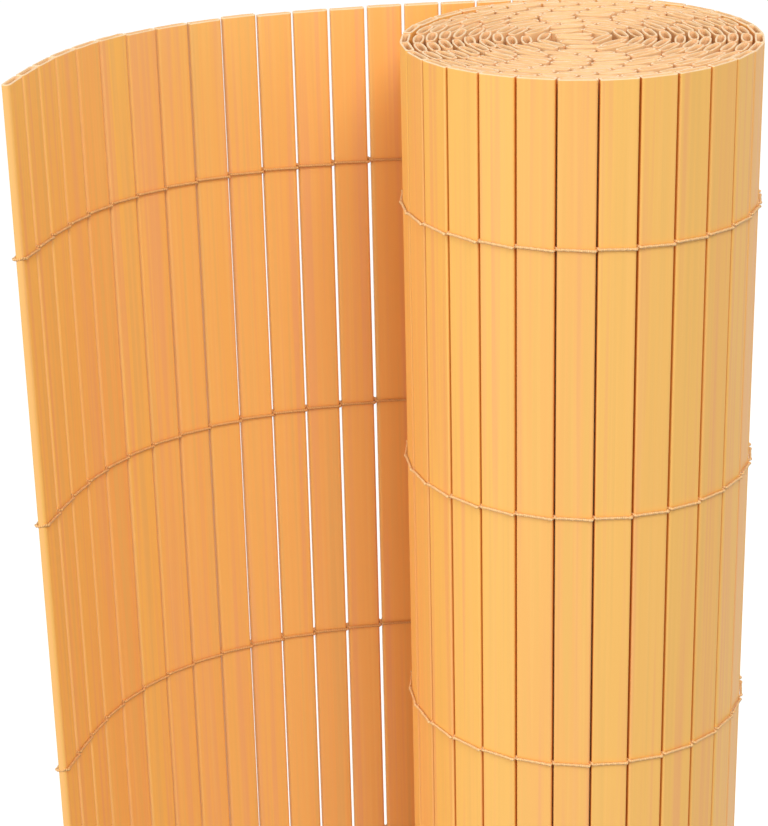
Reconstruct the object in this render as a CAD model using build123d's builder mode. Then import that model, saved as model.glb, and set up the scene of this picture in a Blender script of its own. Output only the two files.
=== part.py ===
"""PVC screening mat: hollow slats sewn side by side, stood on end as a roll with its free end unrolled."""
import os
from math import asin, cos, pi, radians, sin

from build123d import *

# Slats: flattened tubes that run the whole height of the mat
mat_height = 900.0
slat_width = 12.9
slat_thickness = 3.2
slat_wall = 0.5
slat_gap = 0.7
edge_bevel = 0.9
edge_drop = 1.1

# Roll: the joints between slats lie on a spiral, wound outwards from the eye, with the thread between its turns
roll_radius = 64.2
eye_radius = 9.0
turn_clearance = 1.0
leave_angle = 96.85

# Free end: slats that leave the roll along its tangent and curl forwards
free_slats = 18
free_bend = 7.8
bend_power = 2.06

# Sewing thread: rows that run over both faces and round the free end
thread_rows = 9
row_margin = 58.0
thread_size = 0.9
thread_seat = 0.05
tucked_slats = 2

# Values that follow
pitch = slat_width + slat_gap
half_thick = slat_thickness / 2
flat_half = slat_width / 2 - edge_bevel
edge_half = half_thick - edge_drop
cavity_width = 2 * flat_half - slat_wall
cavity_depth = slat_thickness - 2 * slat_wall
row_spacing = (mat_height - 2 * row_margin) / (thread_rows - 1)


def joint_line():
    """Plan points between the slats, from the eye of the roll to the free edge, and how many are rolled."""
    points = []
    radius = roll_radius
    angle = radians(leave_angle)
    while radius > eye_radius:
        points.insert(0, Vector(radius * cos(angle), radius * sin(angle)))
        turn = slat_thickness + turn_clearance + flat_half**2 / (2 * radius)
        step = 2 * asin(pitch / (2 * radius))
        angle -= step
        radius -= turn * step / (2 * pi)
    rolled = len(points)
    heading = radians(leave_angle) + pi / 2
    for number in range(free_slats):
        share = (number + 0.5) / free_slats
        heading += radians(free_bend) * sin(pi * share**bend_power)
        points.append(points[-1] + Vector(pitch * cos(heading), pitch * sin(heading)))
    return points, rolled


def outward(start, end):
    """Unit normal of one slat, pointing to the outside of the roll."""
    return (end - start).normalized().rotate(Axis.Z, -90)


def side_line(points, distance):
    """Line beside a chain of points, mitred at each of them; the outside of the roll is positive."""
    normals = [outward(a, b) for a, b in zip(points, points[1:])]
    before = normals[:1] + normals
    after = normals + normals[-1:]
    return [p + (m + n) * (distance / (1 + m.dot(n))) for p, m, n in zip(points, before, after)]


def slat_frame(start, end):
    """Plane across the slat between two joints: X along its width, Y towards the inside of the roll."""
    return Plane(origin=(start + end) / 2, x_dir=end - start, z_dir=(0, 0, 1))


def thread_route(lift):
    """Plan line of a thread this far above the slats: inner face, free edge, then outer face."""
    tip = joints[-1] + (joints[-1] - joints[-2]).normalized() * lift
    chain = joints[:-1] + [tip]
    inner = side_line(chain, -half_thick - lift)
    outer = side_line(chain, half_thick + lift)
    return inner[rolled:] + outer[rolled - outer_turn + tucked_slats:][::-1]


joints, rolled = joint_line()
outer_turn = int(pi / asin(pitch / (2 * roll_radius)))

# Footprint: the origin is on the floor, at the middle of the plan
reach = thread_route(thread_seat + thread_size)
middle_x = (min(p.X for p in reach) + max(p.X for p in reach)) / 2
middle_y = (min(p.Y for p in reach) + max(p.Y for p in reach)) / 2
joints = [joint - Vector(middle_x, middle_y) for joint in joints]

os.makedirs("parts", exist_ok=True)

# Rolled turns: slats edge to edge, with a groove between them and a cavity in each
roll_chain = joints[:rolled]
grooves = side_line(roll_chain, edge_half)
outline = grooves[:1]
cavities = []
for start, end, groove in zip(roll_chain, roll_chain[1:], grooves[1:]):
    frame = slat_frame(start, end)
    outline.append(frame.from_local_coords(Vector(-flat_half, -half_thick)))
    outline.append(frame.from_local_coords(Vector(flat_half, -half_thick)))
    outline.append(groove)
    cavities.append(frame.location)
outline += side_line(roll_chain, -half_thick)[::-1]

with BuildPart() as rolled_turns:
    with BuildSketch():
        with BuildLine():
            Polyline(*outline, close=True)
        make_face()
        with Locations(*cavities):
            Rectangle(cavity_width, cavity_depth, mode=Mode.SUBTRACT)
    extrude(amount=mat_height)
rolled_turns.part.label = "rolled_turns"
export_step(rolled_turns.part, "parts/rolled_turns.step")

# Free slats: one bevelled tube each
free_chain = joints[rolled - 1:]
for number, (start, end) in enumerate(zip(free_chain, free_chain[1:]), 1):
    with BuildPart() as free_slat:
        with BuildSketch(slat_frame(start, end)) as tube:
            Rectangle(slat_width, slat_thickness)
            chamfer(tube.vertices(), edge_drop, edge_bevel)
            Rectangle(cavity_width, cavity_depth, mode=Mode.SUBTRACT)
        extrude(amount=mat_height)
    free_slat.part.label = f"free_slat_{number:02}"
    export_step(free_slat.part, f"parts/free_slat_{number:02}.step")

# Thread rows: a thread of three sides, flat on the slats
for row in range(thread_rows):
    height = Vector(0, 0, row_margin + row * row_spacing)
    with BuildPart() as thread:
        with BuildLine() as route:
            Polyline(*[point + height for point in thread_route(thread_seat)])
        with BuildSketch(Plane(origin=route.line @ 0, x_dir=(0, 0, 1), z_dir=route.line % 0)):
            with BuildLine():
                Polyline((-thread_size / 2, 0), (thread_size / 2, 0), (0, -thread_size), close=True)
            make_face()
        sweep(transition=Transition.RIGHT)
    thread.part.label = f"thread_row_{row + 1}"
    export_step(thread.part, f"parts/thread_row_{row + 1}.step")
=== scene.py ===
"""Looks of the PVC screening mat: a roll of hollow slats with its free end unrolled, in a white studio."""
import random
from math import asin, cos, exp, pi, radians, sin

import bpy
import numpy as np
from mathutils import Matrix, Vector


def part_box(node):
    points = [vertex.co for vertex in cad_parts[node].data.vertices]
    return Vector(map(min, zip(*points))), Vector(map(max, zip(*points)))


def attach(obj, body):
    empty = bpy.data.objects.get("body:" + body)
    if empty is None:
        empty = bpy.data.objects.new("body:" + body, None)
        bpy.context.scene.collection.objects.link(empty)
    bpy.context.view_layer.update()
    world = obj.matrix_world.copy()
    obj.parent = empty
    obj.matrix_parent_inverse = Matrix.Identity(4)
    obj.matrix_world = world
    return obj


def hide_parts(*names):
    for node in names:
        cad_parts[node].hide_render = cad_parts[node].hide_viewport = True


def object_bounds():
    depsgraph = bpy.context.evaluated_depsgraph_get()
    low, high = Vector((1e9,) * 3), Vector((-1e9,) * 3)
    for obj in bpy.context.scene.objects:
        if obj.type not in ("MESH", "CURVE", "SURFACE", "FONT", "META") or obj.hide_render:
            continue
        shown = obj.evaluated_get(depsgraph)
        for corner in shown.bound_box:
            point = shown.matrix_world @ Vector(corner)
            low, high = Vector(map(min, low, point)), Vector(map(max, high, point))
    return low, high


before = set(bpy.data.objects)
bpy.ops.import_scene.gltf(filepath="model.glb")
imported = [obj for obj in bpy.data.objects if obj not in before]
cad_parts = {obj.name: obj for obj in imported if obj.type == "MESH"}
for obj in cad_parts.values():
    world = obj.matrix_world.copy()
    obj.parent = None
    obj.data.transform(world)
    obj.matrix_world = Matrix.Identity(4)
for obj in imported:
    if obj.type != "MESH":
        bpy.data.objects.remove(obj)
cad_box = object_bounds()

# Rolled slats
# Flattened tubes of extruded PVC, coloured through with a wood-like streak and sawn off at both ends.
# They are wound edge to edge on a spiral, held only by the sewing thread, so each sits a little askew.
# Those inside the roll are rounder than those of the outer turn, and two are folded into its eye.
slat_thickness = 0.0032
slat_wall = 0.00055
slat_pitch = 0.0136
flat_stops = (0.95, 0.4)
oval_stops = (0.74, 0.27)
# Rim and skin shares: positive mixes in the pale sawn colour with painted light, negative paints shade; the
# inner turns get painted shade on their outsides.
outer_section = {"width": 0.0130, "corner": 0.0007, "crown": 0.045, "stops": flat_stops,
                 "rim_light_and_shade": 0.8, "skin_shade": 0.0}
inner_section = {"width": 0.0129, "corner": 0.0014, "crown": 0.36, "stops": oval_stops,
                 "rim_light_and_shade": -0.3, "skin_shade": -0.8}
roll_radius = 0.0642
eye_radius = 0.0090
turn_clearance = 0.0010
turn_rise = 0.00555
eye_slats = ((-0.0012, -0.0012, radians(-10)), (-0.0014, 0.0036, radians(4)))
eye_foot, eye_drop = 0.0002, 0.0003
leave_angle = radians(96.85)
free_slats = 18
free_bend = radians(7.8)
bend_power = 2.06
mat_height = cad_box[1].z - cad_box[0].z
askew = random.Random(11)


def joint_line():
    """Plan points between the slats, from the eye of the roll to the free edge, and how many are rolled."""
    points = []
    radius = roll_radius
    angle = leave_angle
    while radius > eye_radius:
        points.insert(0, np.array((radius * cos(angle), radius * sin(angle))))
        turn = slat_thickness + turn_clearance + turn_rise**2 / (2 * radius)
        step = 2 * asin(slat_pitch / (2 * radius))
        angle -= step
        radius -= turn * step / (2 * pi)
    rolled = len(points)
    heading = leave_angle + pi / 2
    for number in range(free_slats):
        share = (number + 0.5) / free_slats
        heading += free_bend * sin(pi * share**bend_power)
        points.append(points[-1] + slat_pitch * np.array((cos(heading), sin(heading))))
    edge_low, edge_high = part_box(f"free_slat_{free_slats:02}")
    edge_middle = np.array((edge_low + edge_high) / 2)[:2]
    return np.array(points) + edge_middle - (points[-1] + points[-2]) / 2, rolled


def slackened(points):
    """Joints drawn back a little where the free end leaves the roll: slats slide on their thread."""
    most = 0.0017
    middle = 2.5
    free_reach, rolled_reach = 3.0, 9.0
    moved = points.copy()
    for number in range(1, len(points)):
        past = number - (rolled - 1) - middle
        share = exp(-(past / (free_reach if past > 0 else rolled_reach))**2)
        moved[number] += (points[number - 1] - points[number]) / slat_pitch * most * share
    return moved


def slat_axes(start, end, twist=0.0):
    """Middle of a slat in plan, the direction along its width, and the direction out of the roll."""
    along = (end - start) / np.linalg.norm(end - start)
    out = np.array((along[1], -along[0]))
    turned = along * cos(twist) + out * sin(twist)
    return (start + end) / 2, turned, np.array((turned[1], -turned[0]))


def slat_outline(half_width, half_thick, corner, crown, stops):
    """Section of a tube as (width, thickness) points: round corners, and faces crowned from stop to stop."""
    corner_steps = 4
    face_shares = (*stops, *(-stop for stop in stops[::-1]))
    points = []
    for turn, (side_u, side_v) in enumerate(((1, 1), (1, -1), (-1, -1), (-1, 1))):
        for step in range(corner_steps + 1):
            angle = pi / 2 * (1 - turn - step / corner_steps)
            points.append((side_u * (half_width - corner) + corner * cos(angle),
                           side_v * (half_thick - corner) + corner * sin(angle)))
        if turn in (1, 3):
            flat = side_u * (half_width - corner)
            points += [(share * flat, side_v * half_thick) for share in face_shares]
    points = np.array(points)
    points[:, 1] *= 1 - crown * (points[:, 0] / half_width)**2
    return points


def slat_tube(axes, thickness, foot, top, width, corner, crown, stops, rim_light_and_shade, skin_shade):
    """Rings of one hollow slat, up its outside and down its bore, each ring with a share of pale colour near
    the sawn ends, partly the cut's own and partly painted light (+), or of painted shade (-).
    """
    saw_marks = 0.00009
    burr = 0.00008
    skin_depth = 0.0004
    bore_depth = 0.0013
    bore_round = 0.95
    mouth_shade, bore_shade = -0.5, -1.0
    middle, along, out = axes
    depth = thickness / 2 - slat_wall
    mouth_depth = depth - burr
    outside = slat_outline(width / 2, thickness / 2, corner, crown, stops)
    bore = slat_outline(width / 2 - slat_wall, depth, depth * bore_round, crown, stops)
    mouth = slat_outline(width / 2 - slat_wall - burr, mouth_depth, mouth_depth * bore_round, crown, stops)
    # Shares per ring: positive is pale colour near the sawn ends with painted light, negative is painted
    # shade in the bore and on the inner turns.
    levels = ((outside, foot, 1, rim_light_and_shade), (outside, foot + skin_depth, 0, skin_shade),
              (outside, top - skin_depth, 0, skin_shade), (outside, top, 1, rim_light_and_shade),
              (mouth, top, 1, mouth_shade), (bore, top - bore_depth, 0, bore_shade),
              (bore, foot + bore_depth, 0, bore_shade), (mouth, foot, 1, mouth_shade))
    rings = []
    for outline, height, cut, _ in levels:
        plan = middle + outline[:, :1] * along + outline[:, 1:] * out
        level = np.array([height + cut * askew.uniform(-saw_marks, saw_marks) for _ in outline])
        rings.append(np.column_stack((plan, level)))
    side = np.tile(outside[:, 1] / thickness * 2, len(levels))
    pale = np.repeat([level[3] for level in levels], len(outside))
    return np.concatenate(rings), side, pale


def slat_piece(name, tubes, materials):
    """One object made of tubes, with the sawn rims as their own material and a tone for each slat."""
    bands = 8
    sawn_bands = (3, 7)
    ring = len(tubes[0][0]) // bands
    faces, sawn = [], []
    for number in range(len(tubes)):
        first = number * ring * bands
        for band in range(bands):
            near = first + band * ring
            far = first + (band + 1) % bands * ring
            for k in range(ring):
                after = (k + 1) % ring
                faces.append((near + k, near + after, far + after, far + k))
                sawn.append(band in sawn_bands)
    points, sides, lights_and_shades = (np.concatenate(values) for values in zip(*tubes))
    tones = np.repeat([askew.random() for _ in tubes], ring * bands)
    mesh = bpy.data.meshes.new(name)
    mesh.from_pydata(points, [], faces)
    mesh.polygons.foreach_set("use_smooth", [not cut for cut in sawn])
    mesh.polygons.foreach_set("material_index", [int(cut) for cut in sawn])
    # The third attribute carries painted light near the sawn ends and painted shade in bores and inner turns.
    for attribute, values in (("slat_tone", tones), ("mat_side", sides), ("rim_light_and_bore_shade", lights_and_shades)):
        mesh.attributes.new(attribute, "FLOAT", "POINT").data.foreach_set("value", values)
    for material in materials:
        mesh.materials.append(material)
    piece = bpy.data.objects.new(name, mesh)
    bpy.context.scene.collection.objects.link(piece)
    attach(piece, "root")
    return piece


def paint(red, green, blue):
    """A colour written as on screen, 0 to 255, in the linear form that shaders take."""
    parts = [value / 255 for value in (red, green, blue)]
    return [part / 12.92 if part <= 0.04045 else ((part + 0.055) / 1.055)**2.4 for part in parts] + [1.0]


def new_material(name):
    """An empty node material and its principled shader."""
    material = bpy.data.materials.new(name)
    material.use_nodes = True
    return material.node_tree, material, material.node_tree.nodes["Principled BSDF"]


def node(tree, kind, settings=(), **inputs):
    """A new node with its settings and inputs, named or counted as _0, _1; a socket is linked."""
    made = tree.nodes.new(kind)
    for key, value in dict(settings).items():
        setattr(made, key, value)
    for key, value in inputs.items():
        socket = made.inputs[int(key[1:])] if key[1:].isdigit() else made.inputs[key]
        if isinstance(value, bpy.types.NodeSocket):
            tree.links.new(value, socket)
        else:
            socket.default_value = value
    return made


def mixed(tree, share, first, second):
    """Colour between two others; the share, and either colour, may be a socket."""
    blend = node(tree, "ShaderNodeMix", {"data_type": "RGBA"})
    for place, value in ((0, share), (6, first), (7, second)):
        if isinstance(value, bpy.types.NodeSocket):
            tree.links.new(value, blend.inputs[place])
        else:
            blend.inputs[place].default_value = value
    return blend.outputs[2]


def span(tree, value, low, high, to_low=0.0, to_high=1.0):
    """A number stretched from one range to another and held inside it."""
    return node(tree, "ShaderNodeMapRange", {}, _0=value, _1=low, _2=high, _3=to_low, _4=to_high).outputs[0]


def streak(tree, seed, across, along, detail=2.0):
    """Noise drawn out along the slats: patches this many metres wide and long, other on every slat."""
    slat_spread = 37.0
    place = node(tree, "ShaderNodeTexCoord").outputs["Object"]
    tone = node(tree, "ShaderNodeAttribute", {"attribute_name": "slat_tone"}).outputs["Fac"]
    shift = node(tree, "ShaderNodeMath", {"operation": "MULTIPLY"}, _0=tone, _1=slat_spread + seed).outputs[0]
    stretch = (1 / across, 1 / across, 1 / along)
    drawn = node(tree, "ShaderNodeVectorMath", {"operation": "MULTIPLY"}, _0=place, _1=stretch).outputs[0]
    moved = node(tree, "ShaderNodeVectorMath", {"operation": "ADD"}, _0=drawn, _1=shift).outputs[0]
    return node(tree, "ShaderNodeTexNoise", {}, Vector=moved, Scale=1.0, Detail=detail).outputs["Fac"]


def streaked(tree, tone, streaks, light, deep, *tints):
    """Colour of a slat, between a light tone and a deep one, with a tint for each kind of streak."""
    colour = mixed(tree, tone, paint(*light), paint(*deep))
    for share, tint in zip(streaks, tints):
        colour = mixed(tree, share, colour, paint(*tint))
    return colour


def slat_plastic(name, flank_colour, flank_start):
    """Satin PVC the colour of pale bamboo, with pink and olive streaks drawn out along the slat. Its flanks
    take the given colour, and its rims and bores mix in pale painted light and tan painted shade.
    """
    face_blend = 0.6
    flank_fade = 0.3
    sawn_edge_light = paint(255, 226, 184)
    bore_shade_colour = paint(247, 206, 157)
    satin = (0.40, 0.54)
    tree, material, shader = new_material(name)
    tone = node(tree, "ShaderNodeAttribute", {"attribute_name": "slat_tone"}).outputs["Fac"]
    side = node(tree, "ShaderNodeAttribute", {"attribute_name": "mat_side"}).outputs["Fac"]
    broad = streak(tree, seed=0.0, across=0.0034, along=0.26)
    fine = streak(tree, seed=5.0, across=0.0014, along=0.14)
    pinker = span(tree, broad, 0.51, 0.66, 0.0, 0.9)
    greener = span(tree, broad, 0.47, 0.34, 0.0, 0.9)
    brighter = span(tree, fine, 0.50, 0.70, 0.0, 0.6)
    streaks = (pinker, greener, brighter)
    straw = streaked(tree, tone, streaks, (249, 194, 99), (247, 183, 101),
                     (244, 177, 107), (243, 188, 100), (251, 194, 107))
    amber = streaked(tree, tone, streaks, (255, 196, 101), (253, 185, 102),
                     (248, 180, 116), (245, 189, 108), (255, 196, 110))
    colour = mixed(tree, span(tree, side, -face_blend, face_blend), amber, straw)
    flank = node(tree, "ShaderNodeMath", {"operation": "ABSOLUTE"}, _0=side).outputs[0]
    # Flank colour on the narrow sides: painted shade on the rolled slats, painted light beside the gaps.
    colour = mixed(tree, span(tree, flank, flank_start, flank_start - flank_fade), colour, flank_colour)
    pale = node(tree, "ShaderNodeAttribute", {"attribute_name": "rim_light_and_bore_shade"}).outputs["Fac"]
    # Pale colour by the sawn ends, partly the cut's own and partly painted light; then tan painted shade in
    # the bores and on the inner turns.
    colour = mixed(tree, span(tree, pale, 0.0, 0.8), colour, sawn_edge_light)
    colour = mixed(tree, span(tree, pale, 0.0, -1.0), colour, bore_shade_colour)
    tree.links.new(colour, shader.inputs["Base Color"])
    tree.links.new(span(tree, fine, 0.2, 0.8, *satin), shader.inputs["Roughness"])
    lines = streak(tree, seed=9.0, across=0.0005, along=0.20, detail=1.0)
    drawn = node(tree, "ShaderNodeBump", {}, Height=lines, Strength=0.08, Distance=0.0002)
    tree.links.new(drawn.outputs[0], shader.inputs["Normal"])
    return material


def sawn_plastic():
    """The same PVC where the saw has torn it: paler, matt and faintly scored; the paleness is partly the
    cut's own and partly painted light falling from above.
    """
    tree, material, shader = new_material("sawn_plastic")
    place = node(tree, "ShaderNodeTexCoord").outputs["Object"]
    score = node(tree, "ShaderNodeTexNoise", {}, Vector=place, Scale=900.0, Detail=3.0).outputs["Fac"]
    colour = mixed(tree, span(tree, score, 0.3, 0.7), paint(250, 221, 184), paint(244, 206, 160))
    tree.links.new(colour, shader.inputs["Base Color"])
    shader.inputs["Roughness"].default_value = 0.75
    bump = node(tree, "ShaderNodeBump", {}, Height=score, Strength=0.25, Distance=0.0002)
    tree.links.new(bump.outputs[0], shader.inputs["Normal"])
    return material


def rolled_tube(number):
    """A rolled slat, a little turned, sunk and squeezed: more so inside the roll than on its outer turn."""
    most_turn = radians(1.0)
    most_shift = 0.00014
    eye_slack, outer_slack = 2.5, 0.6
    squeeze_share, squeeze_start = 0.5, 0.2
    inner_swell, outer_swell = (1.17, 1.27), (0.97, 1.03)
    inner_drop, outer_drop = 0.0008, 0.0004
    foot_lift = (0.0001, 0.0004)
    inner = number < last_inner
    loose = 1 + eye_slack * (1 - number / (rolled - 1)) if inner else outer_slack
    twist = askew.uniform(-most_turn, most_turn) * loose
    middle, along, out = slat_axes(joints[number], joints[number + 1], twist)
    axes = (middle + out * askew.uniform(-most_shift, most_shift) * loose, along, out)
    bend = slat_pitch / 2 / np.linalg.norm(middle - roll_middle)
    squeeze = slat_thickness * squeeze_share * max(0.0, bend - squeeze_start)
    thickness = slat_thickness * askew.uniform(*(inner_swell if inner else outer_swell))
    foot = askew.uniform(*foot_lift)
    top = mat_height - askew.uniform(0.0, inner_drop if inner else outer_drop)
    section = dict(inner_section, width=inner_section["width"] - squeeze) if inner else outer_section
    return slat_tube(axes, thickness, foot, top, **section)


joints, rolled = joint_line()
roll_middle = joints[rolled - 1] - roll_radius * np.array((cos(leave_angle), sin(leave_angle)))
joints = slackened(joints)
outer_turn = int(pi / asin(slat_pitch / (2 * roll_radius)))
last_inner = rolled - 1 - outer_turn
sawn_rim = sawn_plastic()
# Darker flanks on the rolled slats: painted shade in the grooves between them.
rolled_plastic = slat_plastic("rolled_plastic", flank_colour=paint(232, 148, 60), flank_start=0.7)
rolled_materials = (rolled_plastic, sawn_rim)
inner_slats = [rolled_tube(number) for number in range(last_inner)]
for across, deep, turn in eye_slats:
    folded = slat_axes(np.zeros(2), np.array((cos(turn), sin(turn))))[1:]
    axes = (roll_middle + np.array((across, deep)), *folded)
    inner_slats.append(slat_tube(axes, slat_thickness, eye_foot, mat_height - eye_drop, **inner_section))
outer_slats = [rolled_tube(number) for number in range(last_inner, rolled - 1)]
inner_turns = slat_piece("inner_turns", inner_slats, rolled_materials)
slat_piece("outer_turn", outer_slats, rolled_materials)
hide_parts("rolled_turns")

# Free slats
# The same PVC tubes, unrolled from the outer turn: one object each, held apart by the thread in the gaps.
# They stand a hair askew and were sawn off in a bundle, a little out of square: the free edge is the longest.
# The flanks beside the gaps are painted paler than at the free edge: painted light for the light that comes
# through the thin walls there.
free_section = {"width": 0.0128, "corner": 0.0009, "crown": 0.045, "stops": flat_stops,
                "rim_light_and_shade": 0.8, "skin_shade": 0.0}
edge_section = dict(free_section, corner=0.0013)
# Pale gap flanks: painted light.
gap_plastic = slat_plastic("gap_plastic", flank_colour=paint(255, 208, 140), flank_start=0.82)
edge_plastic = slat_plastic("edge_plastic", flank_colour=paint(250, 188, 110), flank_start=0.62)
free_turn = radians(0.8)
free_thinning = 0.96
free_drop = 0.0006
free_lift = (0.0001, 0.0003)
out_of_square = 0.0018

for number in range(1, free_slats + 1):
    start, end = joints[rolled + number - 2], joints[rolled + number - 1]
    axes = slat_axes(start, end, askew.uniform(-free_turn, free_turn))
    thickness = slat_thickness * askew.uniform(free_thinning, 1.0)
    top = mat_height - askew.uniform(0.0, free_drop) + out_of_square * number / free_slats
    foot = askew.uniform(*free_lift)
    at_edge = number == free_slats
    tube = slat_tube(axes, thickness, foot, top, **(edge_section if at_edge else free_section))
    slat_materials = (edge_plastic if at_edge else gap_plastic, sawn_rim)
    free_slat = slat_piece(f"free_slat_tube_{number:02}", [tube], slat_materials)
    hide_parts(f"free_slat_{number:02}")

# Sewing thread
# Rows of twisted polyester thread, two to a row, one on each face of the mat.
# They change faces in every gap and so bind the slats; round the free edge one thread runs into the other.
thread_rows = 9
thread_radius = 0.00052
thread_flat = 0.80
thread_swell = 1.12
thread_lift = 0.00065
thread_twist = 0.0022
ply_length = 0.0009
end_rise = 0.00028
roll_slant = 0.00032
free_slant = 0.00034
gap_bend = 0.00095
edge_tuck = 0.0005
tucked_slats = 2


def stitch(start, end, side, foot, slant):
    """Points of one thread across one slat, each with its face: 1 for the outer, -1 the inner, 0 in a gap."""
    corner_steps = 4
    run_steps = 18
    rise_power = 8
    middle, along, out = slat_axes(start, end)
    half = np.linalg.norm(end - start) / 2
    lift = slat_thickness / 2 + thread_lift
    dip = [pi / 2 * k / corner_steps for k in range(corner_steps)]
    entry = [(-half + gap_bend * (1 - cos(a)), (lift + end_rise) * sin(a)) for a in dip]
    run = []
    for k in range(run_steps + 1):
        share = 2 * k / run_steps - 1
        run.append(((half - gap_bend) * share, lift + end_rise * share**rise_power))
    path = entry + run + [(-u, v) for u, v in entry[::-1]]
    points = []
    for u, v in path:
        plan = middle + along * u + out * v * side
        points.append((Vector((plan[0], plan[1], foot - slant * side * u / half)), side * v / lift))
    return points


def thread_rings(path):
    """A twisted thread along a path, closed at both ends: vertices, faces, and places round the thread."""
    sides = 6
    half_wide = thread_radius * thread_swell
    half_flat = half_wide * thread_flat
    vertices, faces, places = [], [], []
    travelled = 0.0
    for k, point in enumerate(path):
        before, after = path[max(k - 1, 0)], path[min(k + 1, len(path) - 1)]
        run = (after - before).normalized()
        level = run.cross(Vector((0, 0, 1))).normalized()
        rise = level.cross(run)
        travelled += (point - before).length
        twist = pi * travelled / thread_twist
        for side in range(sides):
            angle = 2 * pi * side / sides
            wide, flat = half_wide * cos(angle), half_flat * sin(angle)
            places.append((cos(angle), sin(angle), travelled / ply_length))
            vertices.append(point + level * (wide * cos(twist) - flat * sin(twist))
                            + rise * (wide * sin(twist) + flat * cos(twist)))
        if k:
            low = (k - 1) * sides
            for side in range(sides):
                after_side = (side + 1) % sides
                faces.append((low + side, low + after_side, low + sides + after_side, low + sides + side))
    last = (len(path) - 1) * sides
    faces.append(tuple(range(sides))[::-1])
    faces.append(tuple(range(last, last + sides)))
    return vertices, faces, places


def plies(tree):
    """Wave that winds round the thread once in each ply length, from the place of each point round it."""
    place = node(tree, "ShaderNodeAttribute", {"attribute_name": "ply_place"}).outputs["Vector"]
    round_x, round_y, lay = node(tree, "ShaderNodeSeparateXYZ", {}, _0=place).outputs
    turn = node(tree, "ShaderNodeMath", {"operation": "MULTIPLY"}, _0=lay, _1=2 * pi).outputs[0]
    across = node(tree, "ShaderNodeMath", {"operation": "COSINE"}, _0=turn).outputs[0]
    upward = node(tree, "ShaderNodeMath", {"operation": "SINE"}, _0=turn).outputs[0]
    part = node(tree, "ShaderNodeMath", {"operation": "MULTIPLY"}, _0=upward, _1=round_y).outputs[0]
    wave = node(tree, "ShaderNodeMath", {"operation": "MULTIPLY_ADD"}, _0=across, _1=round_x, _2=part)
    return wave.outputs[0]


def thread_fibre():
    """Beige polyester, matt; pale on the outer face of the mat, and tan on the inner one as painted shade."""
    fuzz_share = 0.3
    tree, material, shader = new_material("thread_fibre")
    place = node(tree, "ShaderNodeTexCoord").outputs["Object"]
    fuzz = node(tree, "ShaderNodeTexNoise", {}, Vector=place, Scale=2600.0, Detail=2.0).outputs["Fac"]
    side = node(tree, "ShaderNodeAttribute", {"attribute_name": "mat_side"}).outputs["Fac"]
    ply = plies(tree)
    strand = span(tree, ply, -0.6, 0.8)
    pale = mixed(tree, strand, paint(248, 190, 122), paint(255, 216, 156))
    tan = mixed(tree, strand, paint(226, 162, 90), paint(250, 196, 126))
    # Tan on the inner face is painted shade; the pale outer colour is the thread's own.
    colour = mixed(tree, span(tree, side, 0.4, 0.95), tan, pale)
    tree.links.new(colour, shader.inputs["Base Color"])
    shader.inputs["Roughness"].default_value = 0.8
    shader.inputs["Sheen Weight"].default_value = 0.15
    relief = node(tree, "ShaderNodeMath", {"operation": "MULTIPLY_ADD"}, _0=fuzz, _1=fuzz_share, _2=ply)
    bump = node(tree, "ShaderNodeBump", {}, Height=relief.outputs[0], Strength=0.5, Distance=0.00015)
    tree.links.new(bump.outputs[0], shader.inputs["Normal"])
    return material


def thread_row(foot):
    """All the paths of one row: single stitches on the outer turn, then out and back over the free end."""
    paths = []
    for number in range(rolled - 1 - outer_turn + tucked_slats, rolled - 1):
        paths.append(stitch(joints[number], joints[number + 1], 1, foot, roll_slant))
    there, back = [], []
    for number in range(rolled - 1, rolled + free_slats - 1):
        side = 1 if number % 2 else -1
        last = joints[number + 1]
        if number == rolled + free_slats - 2:
            last = last - edge_tuck * slat_axes(joints[number], last)[1]
        there += stitch(joints[number], last, side, foot, free_slant)[:-1]
        back += stitch(joints[number], last, -side, foot, free_slant)[:-1]
    tip = joints[-1] - edge_tuck * slat_axes(joints[-2], joints[-1])[1]
    edge = (Vector((tip[0], tip[1], foot)), -1.0)
    paths.append(there + [edge] + back[::-1])
    return paths


fibre = thread_fibre()
for row in range(1, thread_rows + 1):
    low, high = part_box(f"thread_row_{row}")
    vertices, faces, sides, places = [], [], [], []
    for path in thread_row((low.z + high.z) / 2):
        rings, skins, around = thread_rings([point for point, _ in path])
        faces += [tuple(index + len(vertices) for index in face) for face in skins]
        vertices += rings
        places += around
        sides += np.repeat([side for _, side in path], len(rings) // len(path)).tolist()
    mesh = bpy.data.meshes.new(f"sewing_row_{row}")
    mesh.from_pydata(vertices, [], faces)
    mesh.polygons.foreach_set("use_smooth", [True] * len(faces))
    mesh.attributes.new("mat_side", "FLOAT", "POINT").data.foreach_set("value", sides)
    mesh.attributes.new("ply_place", "FLOAT_VECTOR", "POINT").data.foreach_set("vector", np.ravel(places))
    mesh.materials.append(fibre)
    sewing = bpy.data.objects.new(f"sewing_row_{row}", mesh)
    bpy.context.scene.collection.objects.link(sewing)
    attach(sewing, "root")
    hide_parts(f"thread_row_{row}")

# Studio
# A wide white floor and an even white surround, a large soft lamp high in front and a fill lamp on the left.
# The camera stands above the mat's top and looks down on it, as in the photograph.
floor_size = 80.0
floor_white = paint(184, 184, 184)
floor_lift = 0.72
surround = 0.62
lamp_aim = Vector((0.03, 0.0, 0.75))
key_place = Vector((0.70, -2.0, 3.0))
key_size = 1.3
key_power = 43.0
fill_place = Vector((-2.2, -1.5, 1.5))
fill_size = 1.4
fill_power = 28.0
camera_place = Vector((-0.00634, -0.80836, 1.08324))
camera_down = 0.3807
camera_tilt = -0.0233
camera_lens = 68.19
camera_sensor = 24.0


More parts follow.
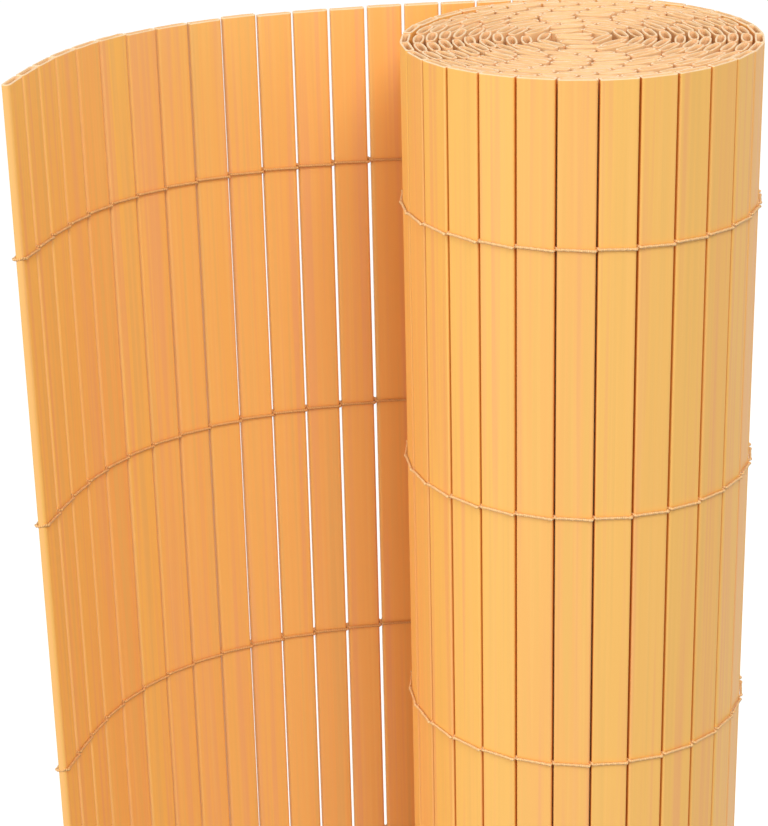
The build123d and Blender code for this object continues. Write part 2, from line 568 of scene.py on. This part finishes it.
def white_floor():
    """White to the camera where nothing shades it, and a plain diffuse white to everything else."""
    tree, material, shader = new_material("white_floor")
    tree.nodes.remove(shader)
    rays = node(tree, "ShaderNodeLightPath").outputs
    seen = node(tree, "ShaderNodeMath", {"operation": "MAXIMUM"},
                _0=rays["Is Camera Ray"], _1=rays["Is Glossy Ray"])
    glow = node(tree, "ShaderNodeMath", {"operation": "MULTIPLY"}, _0=seen.outputs[0], _1=floor_lift)
    diffuse = node(tree, "ShaderNodeBsdfDiffuse", {}, Color=floor_white)
    light = node(tree, "ShaderNodeEmission", {}, Strength=glow.outputs[0])
    both = node(tree, "ShaderNodeAddShader", {}, _0=diffuse.outputs[0], _1=light.outputs[0])
    tree.links.new(both.outputs[0], tree.nodes["Material Output"].inputs["Surface"])
    return material


bpy.ops.mesh.primitive_plane_add(size=floor_size)
floor = bpy.context.object
floor.name = "floor"
floor.data.materials.append(white_floor())

scene = bpy.context.scene
scene.view_settings.view_transform = "Standard"
world = bpy.data.worlds.new("surround")
world.use_nodes = True
scene.world = world
rays = node(world.node_tree, "ShaderNodeLightPath").outputs
seen = node(world.node_tree, "ShaderNodeMath", {"operation": "MAXIMUM"},
            _0=rays["Is Camera Ray"], _1=rays["Is Glossy Ray"])
level = span(world.node_tree, seen.outputs[0], 0.0, 1.0, surround, 1.0)
world.node_tree.links.new(level, world.node_tree.nodes["Background"].inputs["Strength"])
world.node_tree.nodes["Background"].inputs["Color"].default_value = (1, 1, 1, 1)

for name, place, size, power in (("key_lamp", key_place, key_size, key_power),
                                 ("fill_lamp", fill_place, fill_size, fill_power)):
    light = bpy.data.lights.new(name, "AREA")
    light.size = size
    light.energy = power
    lamp = bpy.data.objects.new(name, light)
    lamp.location = place
    lamp.rotation_euler = (lamp_aim - place).to_track_quat("-Z", "Y").to_euler()
    scene.collection.objects.link(lamp)

lens = bpy.data.cameras.new("camera")
lens.sensor_fit = "VERTICAL"
lens.sensor_height = camera_sensor
lens.lens = camera_lens
lens.clip_end = floor_size
camera = bpy.data.objects.new("camera", lens)
turned = Matrix.Rotation(pi / 2 - camera_down, 4, "X") @ Matrix.Rotation(camera_tilt, 4, "Z")
camera.matrix_world = Matrix.Translation(camera_place) @ turned
scene.collection.objects.link(camera)
scene.camera = camera
